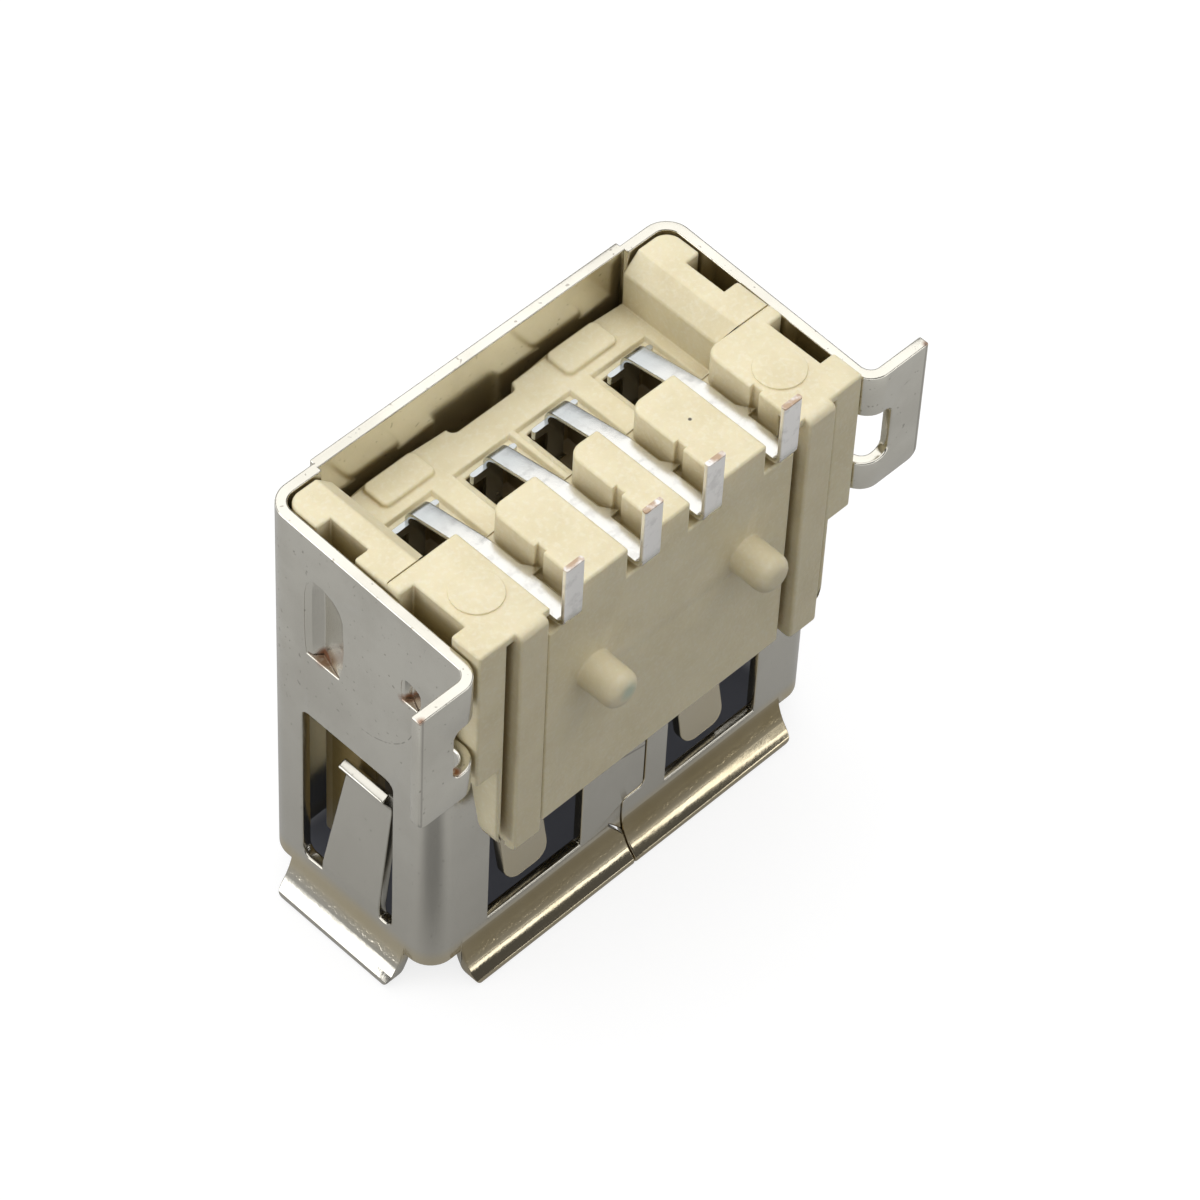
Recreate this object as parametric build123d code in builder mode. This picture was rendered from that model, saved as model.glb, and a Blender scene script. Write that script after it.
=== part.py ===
from build123d import *
import os

os.makedirs("parts", exist_ok=True)

# Millimetres. The mouth faces down, the rear end is up, the board side is -Y,
# and the middle of the plug cavity is at x = 0, y = 0.

# Shell sheet and tube
SHEET = 0.30
CAVITY_W = 12.50
CAVITY_H = 5.12
SHELL_W = CAVITY_W + 2 * SHEET
SHELL_H = CAVITY_H + 2 * SHEET
CORNER_R = 0.70
REAR_Z = 13.80
CORNER_Z = 1.00
WALL_X = SHELL_W / 2 - SHEET / 2
WALL_Y = SHELL_H / 2 - SHEET / 2

# Heights and gaps shared by the pieces
BOARD_Y = -4.12
SPLIT_Z = 9.05
GAP = 0.05

# Flared lips round the mouth
LIP_Z = 1.50
LIP_R = 1.93
LIP_ANGLE = 44.3
SIDE_LIP = 3.94
WIDE_LIP = 11.00
LIP_CORNER = 0.42

# Joint line of the folded sheet
SEAM = 0.05
SEAM_X = -0.05
TAB_X = 0.70
TAB_BACK = -0.50
TAB_Z0 = 2.10
TAB_Z1 = 3.95
TAB_Z2 = 5.80
TAB_R = 0.18
RELIEF_X = -0.50
RELIEF_Z0 = 0.82
RELIEF_Z1 = 1.52
RELIEF = 0.08

# Side windows and their springs
SIDE_Y0 = -1.50
SIDE_Y1 = 1.60
SIDE_Z0 = 1.60
SIDE_Z1 = 7.25
SIDE_R = 0.25
SPRING_Y = -0.07
SPRING_W0 = 2.05
SPRING_W1 = 1.50
SPRING_TIP_Z = 5.70
SPRING_IN = 0.62
SPRING_CURL = 0.34

# Windows and springs in the wide walls
WIDE_X = 3.03
WIDE_W = 3.15
WIDE_Z0 = 1.55
WIDE_Z1 = 7.50
FINGER_W = 1.45
FINGER_TIP_Z = 1.85
FINGER_CREST_Z = 3.30
FINGER_IN = 0.52
FINGER_TIP_IN = 0.22

# Walls that run on to the board, and their flanges
FLANGE_Z0 = 9.50
FLANGE_X = 8.25
FLANGE_BEND = 0.30
FLANGE_R = 0.30
SLOT_Z0 = 10.45
SLOT_Z1 = 12.15
SLOT_X = 7.15
SLOT_Y = -3.20
SLOPE_DROP = 0.30

# Pressed barbs in the side walls
BARB_Y0 = 0.10
BARB_Y1 = 1.52
BARB_Z0 = 9.55
BARB_Z1 = 12.40
BARB_IN = 0.30
SMALL_Y0 = -2.45
SMALL_Y1 = -1.70
SMALL_Z0 = 10.75
SMALL_Z1 = 11.60
SMALL_IN = 0.22
BARB_KEEL = 0.68
BARB_FLANK = 0.45
BARB_FLANK_IN = 0.20
BARB_LAP = 0.05
# Share of the height, and share of the width and depth kept there
BARB_STEPS = ((0.0, 0.84), (0.15, 0.95), (0.40, 1.0), (0.76, 0.97), (0.87, 0.86), (0.95, 0.62), (1.0, 0.28))

# Raised middle of the +Y rim
JOG_W = 9.90
JOG_Z = 11.00
JOG = 0.13

# Housing
BASE_Z = SPLIT_Z + GAP
BASE_W = CAVITY_W - 2 * GAP
BASE_Y1 = CAVITY_H / 2 - GAP
PLATE_Y = -3.90
PLATE_Z0 = 5.83
LEG_X = 5.50
LEG_R = 0.85
LEG_BEVEL_Y = 0.55
LEG_BEVEL_Z = 2.80
RIB_X0 = 4.22
RIB_X1 = 5.10
RIB_Z0 = 5.82
RIB_R = 0.18
GROOVE = 0.22
GROOVE_Y = -3.30
GROOVE_CAP = 0.26
PEG_X = 2.50
PEG_Z = 10.35
PEG_R = 0.52
PEG_TIP_Y = -5.00
PEG_ROUND = 0.30
TONGUE_W = 11.10
TONGUE_Y0 = 0.03
TONGUE_Y1 = 1.87
TONGUE_Z = 1.30

# Rear recess of the housing
RECESS_Z = 12.20
RECESS_X = 4.72
CHAMFER = 0.53
BLOCK_Y = -0.85
EAR_DROP = 0.04
WELL_W = 1.85
WELL_Y = 1.40
WELL_D = 0.15
PAD_X0 = 2.15
PAD_X1 = 3.80
PAD_Y0 = 1.65
PAD_H = 0.16
NOTCH_W = 2.10
NOTCH_D = 0.22
SIDE_NOTCH_X = 5.75
SIDE_NOTCHES = ((0.18, 1.42), (-2.95, -1.30))
MARK_X = 4.90
MARK_Y = -2.45
MARK_R = 0.66
MARK_H = 0.05

# Contacts and the channels they lie in
CONTACT_X = (-3.50, -1.00, 1.00, 3.50)
CHANNEL_W = 1.00
CHANNEL_Z = 12.80
BLOCK_R = 0.40
POCKET_W = 1.40
POCKET_Y = 1.20
POCKET_Z = 10.80
METAL = 0.15
FIT = 0.02
BLADE_W = 1.00
BLADE_Y = -0.02
BLADE_Z0 = 2.00
BLADE_Z1 = 9.60
STRIP_W = 0.58
SHOULDER_W = 1.44
SHOULDER_Z1 = 12.34
RISER_Y = 0.98
RISER_Z = 12.68
RISER_BEND = 0.30
RAMP_Y = -1.20
STRIP_Z = 13.10
FOOT_Y = -4.08
FOOT_Z = 15.10
HOOK_Y0 = -2.15
HOOK_Y1 = -2.58
HOOK_OUT = 0.27
HOOK_NOTCH = 0.28
HOOK_ROOM = 0.06


with BuildPart() as finger:
    # Spring of a wide wall: hangs from the rear end of its window, bent inward
    with BuildSketch(Plane.YZ):
        with BuildLine():
            FilletPolyline(
                (-WALL_Y, WIDE_Z1 + 0.30),
                (-WALL_Y, WIDE_Z1 - 0.30),
                (-WALL_Y + FINGER_IN, FINGER_CREST_Z),
                (-WALL_Y + FINGER_TIP_IN, FINGER_TIP_Z - 0.10),
                radius=0.60,
            )
        trace(line_width=SHEET)
    extrude(amount=FINGER_W / 2, both=True)
    with BuildSketch(Plane.XZ):
        with Locations((0, FINGER_TIP_Z)):
            outline = Rectangle(FINGER_W, REAR_Z, align=(Align.CENTER, Align.MIN))
        fillet(outline.vertices().group_by(Axis.Y)[0], radius=0.45)
    extrude(amount=SHELL_H, both=True, mode=Mode.INTERSECT)

with BuildPart() as side_spring:
    # Spring of a side wall: rises from the mouth end of its window, bent inward
    with BuildSketch(Plane.XZ):
        with BuildLine():
            FilletPolyline(
                (WALL_X, SIDE_Z0 - 0.08),
                (WALL_X, SIDE_Z0 + 0.30),
                (WALL_X - SPRING_IN, SPRING_TIP_Z - 0.55),
                (WALL_X - SPRING_IN + SPRING_CURL, SPRING_TIP_Z),
                radius=0.50,
            )
        trace(line_width=SHEET)
    extrude(amount=SPRING_W0, both=True)
    with BuildSketch(Plane.YZ):
        with BuildLine():
            Polyline(
                (SPRING_Y - SPRING_W0 / 2, SIDE_Z0 - 0.35),
                (SPRING_Y + SPRING_W0 / 2, SIDE_Z0 - 0.35),
                (SPRING_Y + SPRING_W1 / 2, SPRING_TIP_Z + 0.30),
                (SPRING_Y - SPRING_W1 / 2, SPRING_TIP_Z + 0.30),
                close=True,
            )
        make_face()
    extrude(amount=SHELL_W, both=True, mode=Mode.INTERSECT)

with BuildPart() as barbs:
    # Barbs pressed inward with a sharp keel, round at the rear, open at the mouth side
    for y0, y1, z0, z1, depth in (
        (BARB_Y0, BARB_Y1, BARB_Z0, BARB_Z1, BARB_IN),
        (SMALL_Y0, SMALL_Y1, SMALL_Z0, SMALL_Z1, SMALL_IN),
    ):
        keel = y0 + (y1 - y0) * BARB_KEEL
        for rise, kept in BARB_STEPS:
            near = keel - (keel - y0) * kept
            far = keel + (y1 - keel) * kept
            with BuildSketch(Plane.XY.offset(z0 + (z1 - z0) * rise)):
                with BuildLine():
                    Polyline(
                        (SHELL_W / 2, near),
                        (SHELL_W / 2 - depth * kept, keel),
                        (SHELL_W / 2 - depth * kept * BARB_FLANK_IN, keel + (far - keel) * BARB_FLANK),
                        (SHELL_W / 2, far),
                        (CAVITY_W / 2, far),
                        (CAVITY_W / 2 - depth * kept * BARB_FLANK_IN, keel + (far - keel) * BARB_FLANK),
                        (CAVITY_W / 2 - depth * kept, keel),
                        (CAVITY_W / 2, near),
                        close=True,
                    )
                make_face()
        loft(ruled=True)
    mirror(about=Plane.YZ)

with BuildPart() as barb_windows:
    # Openings in the side walls that the barbs fill, a little smaller than they are
    for y0, y1, z0, z1 in (
        (BARB_Y0, BARB_Y1, BARB_Z0, BARB_Z1),
        (SMALL_Y0, SMALL_Y1, SMALL_Z0, SMALL_Z1),
    ):
        keel = y0 + (y1 - y0) * BARB_KEEL
        near = [
            (keel - (keel - y0) * kept + BARB_LAP, z0 + (z1 - z0) * rise - BARB_LAP * rise)
            for rise, kept in BARB_STEPS
        ]
        far = [
            (keel + (y1 - keel) * kept - BARB_LAP, z0 + (z1 - z0) * rise - BARB_LAP * rise)
            for rise, kept in BARB_STEPS
        ]
        with BuildSketch(Plane.YZ):
            with BuildLine():
                Polyline(*near, *reversed(far), close=True)
            make_face()
        extrude(amount=SHELL_W, both=True)

with BuildPart() as lips:
    # Lips flared outward, with rounded free edges and rounded corners
    for plane, across, wall, length in (
        (Plane.XZ, Plane.YZ, WALL_X, SIDE_LIP),
        (Plane.YZ, Plane.XZ, WALL_Y, WIDE_LIP),
    ):
        with BuildPart(mode=Mode.ADD):
            with BuildSketch(plane):
                with BuildLine():
                    flare = CenterArc((wall + LIP_R, LIP_Z), LIP_R, 180, LIP_ANGLE)
                trace(line_width=SHEET)
                with Locations(flare @ 1):
                    Circle(SHEET / 2)
                mirror(about=Plane.YZ)
            extrude(amount=length / 2, both=True)
            with BuildSketch(across):
                outline = Rectangle(length, 2 * LIP_Z, align=(Align.CENTER, Align.MIN))
                fillet(outline.vertices().group_by(Axis.Y)[0], radius=LIP_CORNER)
            extrude(amount=SHELL_W, both=True, mode=Mode.INTERSECT)

with BuildPart() as shell:
    # Folded tube
    with BuildSketch(Plane.XY.offset(CORNER_Z)):
        RectangleRounded(SHELL_W, SHELL_H, CORNER_R)
        RectangleRounded(CAVITY_W, CAVITY_H, CORNER_R - SHEET, mode=Mode.SUBTRACT)
    extrude(amount=REAR_Z - CORNER_Z)
    # The straight walls give way to the lips at the bend line
    with Locations((0, 0, LIP_Z)):
        Box(SHELL_W + 1, SIDE_LIP, 2, align=(Align.CENTER, Align.CENTER, Align.MAX), mode=Mode.SUBTRACT)
        Box(WIDE_LIP, SHELL_H + 1, 2, align=(Align.CENTER, Align.CENTER, Align.MAX), mode=Mode.SUBTRACT)
    add(lips.part)
    # The board-side wall stops short of the rear end
    with Locations((0, -SHELL_H / 2, SPLIT_Z)):
        Box(
            SHELL_W + 1,
            2 * CORNER_R,
            REAR_Z,
            align=(Align.CENTER, Align.CENTER, Align.MIN),
            mode=Mode.SUBTRACT,
        )
    # Side walls run on to the board and turn outward as flanges
    with BuildSketch(Plane.XY.offset(FLANGE_Z0)):
        with BuildLine():
            FilletPolyline(
                (WALL_X, -SHELL_H / 2 + CORNER_R + 0.20),
                (WALL_X, BOARD_Y + SHEET / 2),
                (FLANGE_X, BOARD_Y + SHEET / 2),
                radius=FLANGE_BEND + SHEET / 2,
            )
        trace(line_width=SHEET)
        mirror(about=Plane.YZ)
    extrude(amount=REAR_Z - FLANGE_Z0)
    # Open slot across each flange bend
    with BuildSketch(Plane.XZ.offset(-BOARD_Y + 0.50)):
        for side in (-1, 1):
            with Locations((side * (SLOT_X - 1), (SLOT_Z0 + SLOT_Z1) / 2)):
                RectangleRounded(2, SLOT_Z1 - SLOT_Z0, SIDE_R)
    extrude(amount=-(SLOT_Y - BOARD_Y + 0.50), mode=Mode.SUBTRACT)
    # Windows
    with BuildSketch(Plane.YZ):
        with Locations(((SIDE_Y0 + SIDE_Y1) / 2, (SIDE_Z0 + SIDE_Z1) / 2)):
            RectangleRounded(SIDE_Y1 - SIDE_Y0, SIDE_Z1 - SIDE_Z0, SIDE_R)
    extrude(amount=SHELL_W, both=True, mode=Mode.SUBTRACT)
    with BuildSketch(Plane.XZ):
        for side in (-1, 1):
            with Locations((side * WIDE_X, (WIDE_Z0 + WIDE_Z1) / 2)):
                Rectangle(WIDE_W, WIDE_Z1 - WIDE_Z0)
    extrude(amount=SHELL_H, both=True, mode=Mode.SUBTRACT)
    add(barb_windows.part, mode=Mode.SUBTRACT)
    # Rear rim: the side walls fall toward the board, the +Y wall stands out
    with BuildSketch(Plane.YZ):
        with BuildLine():
            Polyline(
                (CAVITY_H / 2 - 0.20, REAR_Z),
                (BOARD_Y - 0.20, REAR_Z - SLOPE_DROP),
                (BOARD_Y - 0.20, REAR_Z + 1),
                (CAVITY_H / 2 - 0.20, REAR_Z + 1),
                close=True,
            )
        make_face()
    extrude(amount=FLANGE_X + 1, both=True, mode=Mode.SUBTRACT)
    with Locations((0, SHELL_H / 2 - 0.05, JOG_Z)):
        Box(JOG_W, JOG + 0.05, REAR_Z - JOG_Z, align=(Align.CENTER, Align.MIN, Align.MIN))
    with Locations((0, CAVITY_H / 2 - 0.20, JOG_Z)):
        Box(JOG_W, 0.20 + JOG, REAR_Z, align=(Align.CENTER, Align.MIN, Align.MIN), mode=Mode.SUBTRACT)
    # Joint line with its interlocking tab, and the relief beside it in the lip
    with BuildSketch(Plane.XZ.offset(CAVITY_H / 2 - 0.10)):
        with BuildLine():
            FilletPolyline(
                (SEAM_X, -0.10),
                (SEAM_X, TAB_Z0),
                (TAB_X, TAB_Z0),
                (TAB_X, TAB_Z1),
                (TAB_BACK, TAB_Z1),
                (TAB_BACK, TAB_Z2),
                (SEAM_X, TAB_Z2),
                (SEAM_X, SPLIT_Z + 0.10),
                radius=TAB_R,
            )
        trace(line_width=SEAM)
        with BuildLine():
            Polyline(
                (RELIEF_X, RELIEF_Z1),
                (RELIEF_X, RELIEF_Z1 - RELIEF),
                (SEAM_X, RELIEF_Z0),
                (SEAM_X, RELIEF_Z0 + 2 * RELIEF),
                close=True,
            )
        make_face()
    extrude(amount=1.2, mode=Mode.SUBTRACT)
    # Springs and barbs
    add(side_spring.part)
    mirror(side_spring.part, about=Plane.YZ)
    for x in (-WIDE_X, WIDE_X):
        with Locations(Location((x, 0, 0)), Location((x, 0, 0), (0, 0, 180))):
            add(finger.part)
    add(barbs.part)
    # Rounded corners of the flanges
    outer = shell.edges().filter_by(Axis.Y).filter_by(lambda e: abs(e.center().X) > FLANGE_X - 0.01)
    fillet(outer, radius=FLANGE_R)

with BuildPart() as contact:
    # One contact, drawn at x = 0: blade, riser, ramp, strip and foot in one ribbon
    with BuildSketch(Plane.YZ):
        with BuildLine():
            FilletPolyline(
                (BLADE_Y, BLADE_Z0),
                (BLADE_Y, BLADE_Z1),
                (RISER_Y, BLADE_Z1 + 1.10),
                (RISER_Y, RISER_Z),
                (RAMP_Y, STRIP_Z),
                (FOOT_Y, STRIP_Z),
                (FOOT_Y, FOOT_Z),
                radius=(0.30, 0.30, RISER_BEND, 0.80, 0.25),
            )
        trace(line_width=METAL)
    extrude(amount=STRIP_W / 2, both=True)
    with Locations((0, BLADE_Y, BLADE_Z0)):
        Box(BLADE_W, METAL, BLADE_Z1 - BLADE_Z0 - 0.30, align=(Align.CENTER, Align.CENTER, Align.MIN))
    # Shoulders that rest on the floor of the well
    with Locations((0, RISER_Y, RECESS_Z - WELL_D + FIT)):
        Box(
            SHOULDER_W,
            METAL,
            SHOULDER_Z1 - RECESS_Z + WELL_D - FIT,
            align=(Align.CENTER, Align.CENTER, Align.MIN),
        )
    # Hook on the side of the strip
    with BuildSketch(Plane.XY.offset(STRIP_Z - METAL / 2)):
        with BuildLine():
            Polyline(
                (0, HOOK_Y0),
                (STRIP_W / 2, HOOK_Y0),
                (STRIP_W / 2 + HOOK_OUT, HOOK_Y1),
                (0, HOOK_Y1),
                close=True,
            )
        make_face()
    extrude(amount=METAL)

with BuildPart() as contact_room:
    # Room for one contact inside the housing, a little larger all round
    with BuildSketch(Plane.YZ):
        with BuildLine():
            FilletPolyline(
                (BLADE_Y, BLADE_Z0 - FIT),
                (BLADE_Y, BLADE_Z1),
                (RISER_Y, BLADE_Z1 + 1.10),
                (RISER_Y, RECESS_Z),
                radius=(0.30, 0.30),
            )
        trace(line_width=METAL + 2 * FIT)
    extrude(amount=STRIP_W / 2 + FIT, both=True)
    with Locations((0, BLADE_Y, BLADE_Z0 - FIT)):
        Box(
            BLADE_W + 2 * FIT,
            METAL + 2 * FIT,
            BLADE_Z1 - BLADE_Z0 - 0.30 + 2 * FIT,
            align=(Align.CENTER, Align.CENTER, Align.MIN),
        )

with BuildPart() as housing:
    # Base block, from the cavity side to the board side
    with Locations((0, (BASE_Y1 + PLATE_Y) / 2, BASE_Z)):
        Box(BASE_W, BASE_Y1 - PLATE_Y, REAR_Z - BASE_Z, align=(Align.CENTER, Align.CENTER, Align.MIN))
    fillet(housing.edges().filter_by(Axis.Z).group_by(Axis.Y)[-1], radius=CORNER_R - SHEET + GAP)
    # Plate and legs over the board-side wall of the shell
    with Locations((0, -SHELL_H / 2 - GAP, PLATE_Z0)):
        Box(
            2 * LEG_X,
            -SHELL_H / 2 - GAP - PLATE_Y,
            BASE_Z - PLATE_Z0 + 0.10,
            align=(Align.CENTER, Align.MAX, Align.MIN),
        )
    leg_edges = housing.edges().filter_by(Axis.Y).group_by(Axis.Z)[0]
    fillet(leg_edges, radius=LEG_R)
    with BuildSketch(Plane.YZ):
        with BuildLine():
            Polyline(
                (-SHELL_H / 2, PLATE_Z0 - 0.10),
                (-SHELL_H / 2 - GAP - LEG_BEVEL_Y, PLATE_Z0 - 0.10),
                (-SHELL_H / 2, PLATE_Z0 + LEG_BEVEL_Z),
                close=True,
            )
        make_face()
    extrude(amount=BASE_W, both=True, mode=Mode.SUBTRACT)
    # Ribs that stand on the board
    for x in (RIB_X0, -RIB_X1):
        with BuildSketch(Plane.YZ.offset(x)):
            with Locations((BOARD_Y, RIB_Z0)):
                outline = Rectangle(PLATE_Y + 0.10 - BOARD_Y, REAR_Z - RIB_Z0, align=Align.MIN)
            fillet(outline.vertices().group_by(Axis.X)[0], radius=RIB_R)
        extrude(amount=RIB_X1 - RIB_X0)
    # Narrow grooves beside the ribs, open at the mouth end
    for side in (-1, 1):
        for x in (RIB_X0 - GROOVE / 2, RIB_X1 + GROOVE / 2):
            with Locations((side * x, GROOVE_Y, REAR_Z - GROOVE_CAP)):
                Box(GROOVE, 2, REAR_Z, align=(Align.CENTER, Align.MAX, Align.MAX), mode=Mode.SUBTRACT)
    # Locating pegs
    with BuildSketch(Plane.XZ.offset(-PLATE_Y - 0.10)):
        with Locations((-PEG_X, PEG_Z), (PEG_X, PEG_Z)):
            Circle(PEG_R)
    extrude(amount=PLATE_Y - PEG_TIP_Y + 0.10)
    fillet(housing.edges().filter_by(GeomType.CIRCLE).group_by(Axis.Y)[0], radius=PEG_ROUND)
    # Tongue that carries the blades
    with Locations((0, (TONGUE_Y0 + TONGUE_Y1) / 2, TONGUE_Z)):
        tongue = Box(
            TONGUE_W,
            TONGUE_Y1 - TONGUE_Y0,
            BASE_Z - TONGUE_Z + 0.10,
            align=(Align.CENTER, Align.CENTER, Align.MIN),
        )
    chamfer(tongue.faces().sort_by(Axis.Z)[0].edges(), length=0.25)
    # Rear recess with chamfered ears
    with BuildSketch(Plane.XZ.offset(-BLOCK_Y)):
        with BuildLine():
            Polyline(
                (-RECESS_X, RECESS_Z),
                (RECESS_X, RECESS_Z),
                (RECESS_X, REAR_Z - CHAMFER),
                (RECESS_X + CHAMFER, REAR_Z),
                (-RECESS_X - CHAMFER, REAR_Z),
                (-RECESS_X, REAR_Z - CHAMFER),
                close=True,
            )
        make_face()
    extrude(amount=-(BASE_Y1 - BLOCK_Y), mode=Mode.SUBTRACT)
    with Locations((0, BLOCK_Y, REAR_Z - EAR_DROP)):
        Box(BASE_W, BASE_Y1 - BLOCK_Y, 1, align=(Align.CENTER, Align.MIN, Align.MIN), mode=Mode.SUBTRACT)
    # Channels, hook notches and pockets, one set for each contact
    for x in CONTACT_X:
        with Locations((x, BLOCK_Y + 0.01, CHANNEL_Z)):
            Box(
                CHANNEL_W,
                BLOCK_Y - BOARD_Y + 1,
                REAR_Z,
                align=(Align.CENTER, Align.MAX, Align.MIN),
                mode=Mode.SUBTRACT,
            )
        with Locations((x, HOOK_Y1 - HOOK_ROOM, CHANNEL_Z)):
            Box(
                STRIP_W / 2 + HOOK_OUT + HOOK_ROOM,
                HOOK_NOTCH,
                REAR_Z,
                align=(Align.MIN, Align.MIN, Align.MIN),
                mode=Mode.SUBTRACT,
            )
        with Locations((x, POCKET_Y, POCKET_Z)):
            Box(
                POCKET_W,
                POCKET_Y - BLOCK_Y,
                REAR_Z,
                align=(Align.CENTER, Align.MAX, Align.MIN),
                mode=Mode.SUBTRACT,
            )
        with Locations((x, 0, 0)):
            add(contact_room.part, mode=Mode.SUBTRACT)
    block_edges = (
        housing.edges()
        .filter_by(Axis.Z)
        .filter_by(lambda e: abs(e.center().Y - BLOCK_Y) < 0.02)
        .filter_by(lambda e: e.center().Z > CHANNEL_Z and e.length > 0.5)
        .filter_by(lambda e: min(abs(e.center().X - x - CHANNEL_W / 2) for x in CONTACT_X) < 0.02)
    )
    fillet(block_edges, radius=BLOCK_R)
    # Shallow wells round the contacts, raised pads and middle notch
    with BuildSketch(Plane.XY.offset(RECESS_Z)):
        for x in CONTACT_X:
            with Locations((x, BLOCK_Y)):
                Rectangle(WELL_W, WELL_Y - BLOCK_Y, align=(Align.CENTER, Align.MIN))
    extrude(amount=-WELL_D, taper=20, mode=Mode.SUBTRACT)
    pad_x = (PAD_X0 + PAD_X1) / 2
    with BuildSketch(Plane.XY.offset(RECESS_Z - 0.10)):
        with Locations((-pad_x, (PAD_Y0 + BASE_Y1) / 2), (pad_x, (PAD_Y0 + BASE_Y1) / 2)):
            RectangleRounded(PAD_X1 - PAD_X0, BASE_Y1 - PAD_Y0, 0.18)
    extrude(amount=PAD_H + 0.10)
    with BuildSketch(Plane.XY.offset(RECESS_Z - 1.60)):
        with Locations((0, BASE_Y1)):
            RectangleRounded(NOTCH_W, 2 * NOTCH_D, 0.18)
    extrude(amount=2, mode=Mode.SUBTRACT)
    # Notches that take the barbs
    for y0, y1 in SIDE_NOTCHES:
        for side in (-1, 1):
            with Locations((side * (BASE_W / 2 + 0.5), (y0 + y1) / 2, BASE_Z - 0.10)):
                Box(
                    2 * (BASE_W / 2 + 0.5 - SIDE_NOTCH_X),
                    y1 - y0,
                    REAR_Z,
                    align=(Align.CENTER, Align.CENTER, Align.MIN),
                    mode=Mode.SUBTRACT,
                )
    # Round raised marks on the end blocks
    with BuildSketch(Plane.XY.offset(REAR_Z - 0.10)):
        with Locations((-MARK_X, MARK_Y), (MARK_X, MARK_Y)):
            Circle(MARK_R)
    extrude(amount=0.10 + MARK_H)

shell.part.label = "shell"
export_step(shell.part, "parts/shell.step")
housing.part.label = "housing"
export_step(housing.part, "parts/housing.step")
for number, x in enumerate(CONTACT_X, 1):
    piece = Pos(x, 0, 0) * contact.part
    piece.label = f"contact_{number}"
    export_step(piece, f"parts/contact_{number}.step")
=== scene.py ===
"""Looks of a flat plug socket on its mouth: folded shell, cream housing and four contacts."""
import logging
import math
from dataclasses import dataclass, field
from enum import Enum

import bmesh
import bpy
from mathutils import Matrix, Vector


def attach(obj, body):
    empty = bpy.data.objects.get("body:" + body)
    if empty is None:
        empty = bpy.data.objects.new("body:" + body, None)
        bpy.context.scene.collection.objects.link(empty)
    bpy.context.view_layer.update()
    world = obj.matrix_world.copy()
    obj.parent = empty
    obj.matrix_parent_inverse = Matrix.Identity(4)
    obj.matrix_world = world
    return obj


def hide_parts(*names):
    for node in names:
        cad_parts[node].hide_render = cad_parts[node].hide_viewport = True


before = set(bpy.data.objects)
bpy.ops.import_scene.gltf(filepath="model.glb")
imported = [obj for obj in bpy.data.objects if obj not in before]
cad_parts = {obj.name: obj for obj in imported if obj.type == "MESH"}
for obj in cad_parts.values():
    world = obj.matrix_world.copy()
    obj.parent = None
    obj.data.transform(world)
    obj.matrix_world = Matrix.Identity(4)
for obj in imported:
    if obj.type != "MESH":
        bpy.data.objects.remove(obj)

LOG = logging.getLogger("socket")
MM = 0.001
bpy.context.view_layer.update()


class Grain(Enum):
    """Direction that the rolling lines of a sheet follow."""

    UP = (1.0, 1.0, 0.04)
    ACROSS = (0.04, 1.0, 1.0)


@dataclass(frozen=True)
class Spot:
    """A round mark that fades out, in millimetres."""

    place: tuple
    inner: float
    outer: float


@dataclass(frozen=True)
class Wire:
    """One output socket that can stand in a sum."""

    sheet: "NodeSheet"
    socket: bpy.types.NodeSocket

    def _math(self, operation: str, first: object, second: object) -> "Wire":
        """Adds a Math node.

        Args:
            operation: the node's operation.
            first: a wire or a number.
            second: a wire or a number.

        Returns:
            The node's result.
        """
        node = self.sheet.add("ShaderNodeMath", {"operation": operation}, {0: first, 1: second})
        return node.out("Value")

    def __add__(self, other: object) -> "Wire":
        """Sum."""
        return self._math("ADD", self, other)

    def __radd__(self, other: object) -> "Wire":
        """Sum, from the right."""
        return self._math("ADD", other, self)

    def __sub__(self, other: object) -> "Wire":
        """Difference."""
        return self._math("SUBTRACT", self, other)

    def __rsub__(self, other: object) -> "Wire":
        """Difference, from the right."""
        return self._math("SUBTRACT", other, self)

    def __mul__(self, other: object) -> "Wire":
        """Product."""
        return self._math("MULTIPLY", self, other)

    def __rmul__(self, other: object) -> "Wire":
        """Product, from the right."""
        return self._math("MULTIPLY", other, self)

    def __gt__(self, other: object) -> "Wire":
        """One where this is the larger."""
        return self._math("GREATER_THAN", self, other)

    def __lt__(self, other: object) -> "Wire":
        """One where this is the smaller."""
        return self._math("LESS_THAN", self, other)

    def __abs__(self) -> "Wire":
        """Distance from nought."""
        return self._math("ABSOLUTE", self, 0.0)

    def root(self) -> "Wire":
        """Square root."""
        return self._math("SQRT", self, 0.0)

    def larger(self, other: object) -> "Wire":
        """The larger of two values."""
        return self._math("MAXIMUM", self, other)

    def within(self, low: float, high: float) -> "Wire":
        """One where this lies between low and high."""
        return (self > low) * (self < high)

    def rise(self, low: float, high: float) -> "Wire":
        """Goes smoothly from nought to one.

        Args:
            low: it is nought up to here.
            high: it is one from here.

        Returns:
            The eased value.
        """
        return self.sheet.add(
            "ShaderNodeMapRange",
            {"interpolation_type": "SMOOTHSTEP"},
            {"Value": self, "From Min": low, "From Max": high},
        ).out("Result")

    def line(self, middle: object, inner: float, outer: float) -> "Wire":
        """One as far as inner from the middle, nought from outer on."""
        return 1.0 - abs(self - middle).rise(inner, outer)


@dataclass(frozen=True)
class Box:
    """One node of a sheet."""

    sheet: "NodeSheet"
    node: bpy.types.Node

    def out(self, name: object) -> Wire:
        """One of the node's outputs."""
        return Wire(self.sheet, self.node.outputs[name])


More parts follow.
